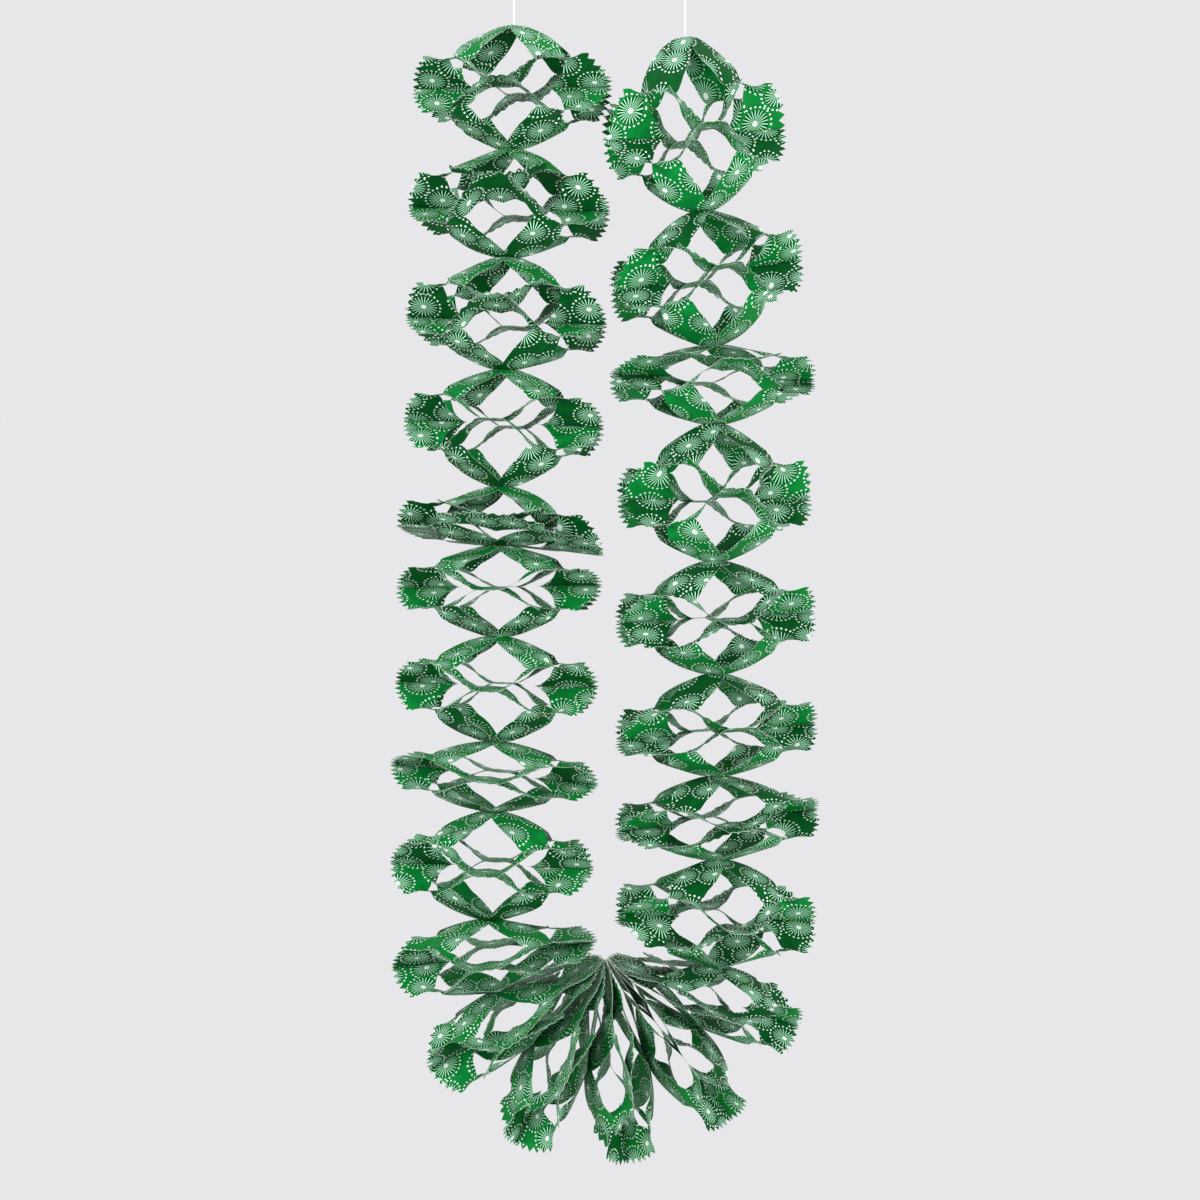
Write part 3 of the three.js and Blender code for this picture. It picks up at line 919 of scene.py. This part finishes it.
def thread_material(thread):
    """Spun cotton: matt, with fine fibres that show as a light mottle and a rough bump."""
    material, nodes, shader = new_material("cotton_thread")
    fibres = nodes.grain(*COTTON_NOISE)
    nodes.put(shader.inputs["Base Color"], shaded(nodes, fibres, thread.colour, COTTON_SHADES))
    nodes.put(shader.inputs["Roughness"], nodes.spread(fibres, *FIBRE_SPAN, *COTTON_ROUGHNESS))
    nodes.put(shader.inputs["Normal"], nodes.bump(fibres, *COTTON_BUMP))
    shader.inputs["Sheen Weight"].default_value = COTTON_SHEEN
    return material


def floor_material(stage):
    """A pale matt floor with a faint grain."""
    material, nodes, shader = new_material("pale_floor")
    grain = nodes.grain(*FLOOR_NOISE)
    nodes.put(shader.inputs["Base Color"], shaded(nodes, grain, stage.floor_colour, FLOOR_SHADES))
    shader.inputs["Roughness"].default_value = FLOOR_ROUGHNESS
    shader.inputs["Specular IOR Level"].default_value = FLOOR_GLOSS
    return material


# Operators

SENSOR_WIDTH = 36
FLOOR_RINGS = 12
FLOOR_SIDES = 96
FLOOR_MIDDLE = 0.0005
KEY_PLACE = Vector((-2.4, -3.7, 0.2))
KEY_SIZE = 3.5
FILL_PLACE = Vector((2.5, -3.75, -0.9))
FILL_SIZE = 3.0
PRINT_SHIFT = 20


class GARLAND_OT_stage(bpy.types.Operator):
    """Sets the camera, the pale floor, the soft lamps and the world"""

    bl_idname = "garland.stage"
    bl_label = "Stage"

    def execute(self, context):
        stage = context.scene.garland_stage
        self.set_camera(context, stage)
        self.lay_floor(context, stage)
        low, high = CAD_BOX
        middle = Vector((0, 0, (low[2] + high[2]) / 2))
        self.hang_lamp(context, "key_lamp", KEY_PLACE, middle, KEY_SIZE, stage.key_power)
        self.hang_lamp(context, "fill_lamp", FILL_PLACE, middle, FILL_SIZE, stage.fill_power)
        self.light_world(context, stage)
        context.scene.view_settings.view_transform = "Standard"
        return {"FINISHED"}

    def set_camera(self, context, stage):
        """A level camera that looks along +Y. Its lens takes in the field at the garland's distance."""
        camera = bpy.data.cameras.new("camera")
        camera.sensor_width = SENSOR_WIDTH
        camera.lens = camera.sensor_width * stage.camera_distance / stage.field
        holder = bpy.data.objects.new("camera", camera)
        holder.location = (stage.camera_side, -stage.camera_distance, stage.picture_top - stage.field / 2)
        holder.rotation_euler = (QUARTER, 0, 0)
        context.scene.collection.objects.link(holder)
        context.scene.camera = holder

    def lay_floor(self, context, stage):
        """A round floor: rings of points about the middle, below the garland."""
        height = CAD_BOX[0][2] - stage.floor_drop
        radius = np.linspace(FLOOR_MIDDLE, 1, FLOOR_RINGS)[:, None] * stage.floor_radius
        around = np.linspace(0, 2 * math.pi, FLOOR_SIDES + 1)
        x = radius * np.cos(around)
        y = radius * np.sin(around)
        points = np.stack([x, y, np.full(x.shape, height)], axis=2).reshape(-1, 3)
        mesh = bpy.data.meshes.new("floor")
        mesh.from_pydata(points.tolist(), [], grid_triangles(*x.shape).tolist())
        mesh.materials.append(floor_material(stage))
        floor = bpy.data.objects.new("floor", mesh)
        context.scene.collection.objects.link(floor)

    def hang_lamp(self, context, name, place, target, size, watts):
        """A large soft lamp that looks at the garland's middle."""
        lamp = bpy.data.lights.new(name, "AREA")
        lamp.shape = "DISK"
        lamp.size = size
        lamp.energy = watts
        holder = bpy.data.objects.new(name, lamp)
        holder.location = place
        holder.rotation_euler = (target - place).to_track_quat("-Z", "Y").to_euler()
        context.scene.collection.objects.link(holder)

    def light_world(self, context, stage):
        """The background colour for what the camera and reflections see, and an even light for all else."""
        world = bpy.data.worlds.new("studio")
        world.use_nodes = True
        nodes = Nodes(world.node_tree)
        world.node_tree.nodes.clear()
        seen = nodes.named("ShaderNodeBackground", Color=shade(stage.background, 1))
        even = nodes.named("ShaderNodeBackground", Color=(1, 1, 1, 1), Strength=stage.ambient)
        ray = nodes.add("ShaderNodeLightPath").outputs
        direct = nodes.math("MAXIMUM", ray["Is Camera Ray"], ray["Is Transmission Ray"])
        clear = nodes.math("MAXIMUM", direct, ray["Is Glossy Ray"])
        mixed = nodes.filled("ShaderNodeMixShader", (clear, even.outputs[0], seen.outputs[0]))
        nodes.named("ShaderNodeOutputWorld", Surface=mixed.outputs[0])
        context.scene.world = world


class GARLAND_OT_threads(bpy.types.Operator):
    """Makes the two hanging threads, each with its knot, cut end and loop"""

    bl_idname = "garland.threads"
    bl_label = "Threads"

    def execute(self, context):
        thread = context.scene.garland_thread
        cotton = [thread_material(thread)]
        for side, way in (("left", 1), ("right", -1)):
            path = thread_path(side)
            top = path[-1]
            radius = thread_radius(side)
            tube = closed_grid(thread_rings(path, thread, radius))
            cord = new_piece(f"hanging_thread_{side}", *tube, cotton, "thread", f"thread_{side}")
            tube = ring_grid(thread_rings(loop_path(side), thread, radius))
            loop = new_piece(f"hanging_loop_{side}", *tube, cotton, "thread", f"loop_{side}")
            tube = closed_grid(knot_rings(top, thread))
            knot = new_piece(f"knot_{side}", *tube, cotton, "thread")
            tube = closed_grid(thread_rings(tail_path(top, thread, way), thread, radius * TAIL_THINNING))
            tail = new_piece(f"cut_end_{side}", *tube, cotton, "thread")
        return {"FINISHED"}


class GARLAND_OT_sheets(bpy.types.Operator):
    """Cuts, prints and opens the paper sheets of the row"""

    bl_idname = "garland.sheets"
    bl_label = "Paper sheets"

    def execute(self, context):
        scene = context.scene
        cut = scene.garland_cut
        ink = scene.garland_print
        materials = [
            paper_material("printed_paper_bright", ink.bright_face, ink),
            paper_material("printed_paper_deep", ink.deep_face, ink),
            core_material(ink),
        ]
        net = cut_sheet(cut)
        planes = glue_planes(cut, scene.garland_row)
        for index in range(len(planes) - 1):
            top, fans, foot = planes[index - index % 2:][:3]
            # The lift at the foot of the cell before bends that cell's last sheet only
            level_top = top._replace(near_slope=0.0)
            order = (foot, fans, level_top) if index % 2 else (level_top, fans, foot)
            random = np.random.default_rng(index + 1)
            points, flat = open_sheet(cut, net, *order, random)
            number = f"{index + 1:02d}"
            node = f"paper_sheet_{number}"
            piece = new_piece(f"garland_sheet_{number}", points, net.triangles, materials, "paper", node)
            sharpen_rim(piece.data, net.triangles)
            shift = random.uniform(-PRINT_SHIFT, PRINT_SHIFT, 2)
            turn = random.uniform(0, 2 * math.pi)
            places = np.stack(turned(*flat.T, turn), axis=1) / ink.burst_spacing + shift
            print_map(piece.data, net.triangles, places)
            body = piece.modifiers.new("paper", "SOLIDIFY")
            body.thickness = cut.thickness
            body.offset = 0
            body.material_offset = 1
            body.material_offset_rim = 2
        return {"FINISHED"}


class GARLAND_PT_panel(bpy.types.Panel):
    """Lists the garland's pieces and settings"""

    bl_label = "Garland"
    bl_idname = "GARLAND_PT_panel"
    bl_space_type = "VIEW_3D"
    bl_region_type = "UI"
    bl_category = "Garland"

    def draw(self, context):
        for operator in OPERATORS:
            self.layout.operator(operator.bl_idname)
        for name, group in SETTINGS.items():
            column = self.layout.box().column()
            column.label(text=group.__doc__)
            for setting in group.__annotations__:
                column.prop(getattr(context.scene, name), setting)


OPERATORS = (GARLAND_OT_stage, GARLAND_OT_threads, GARLAND_OT_sheets)


def register():
    """Registers the settings, operators and panel."""
    for name, group in SETTINGS.items():
        bpy.utils.register_class(group)
        setattr(bpy.types.Scene, name, PointerProperty(type=group))
    for kind in (*OPERATORS, GARLAND_PT_panel):
        bpy.utils.register_class(kind)


def unregister():
    """Removes what register added."""
    for kind in (GARLAND_PT_panel, *reversed(OPERATORS)):
        bpy.utils.unregister_class(kind)
    for name, group in SETTINGS.items():
        delattr(bpy.types.Scene, name)
        bpy.utils.unregister_class(group)


def main():
    """Builds the stage and the garland."""
    register()
    bpy.ops.garland.stage()
    bpy.ops.garland.threads()
    bpy.ops.garland.sheets()


if __name__ == "__main__":
    main()
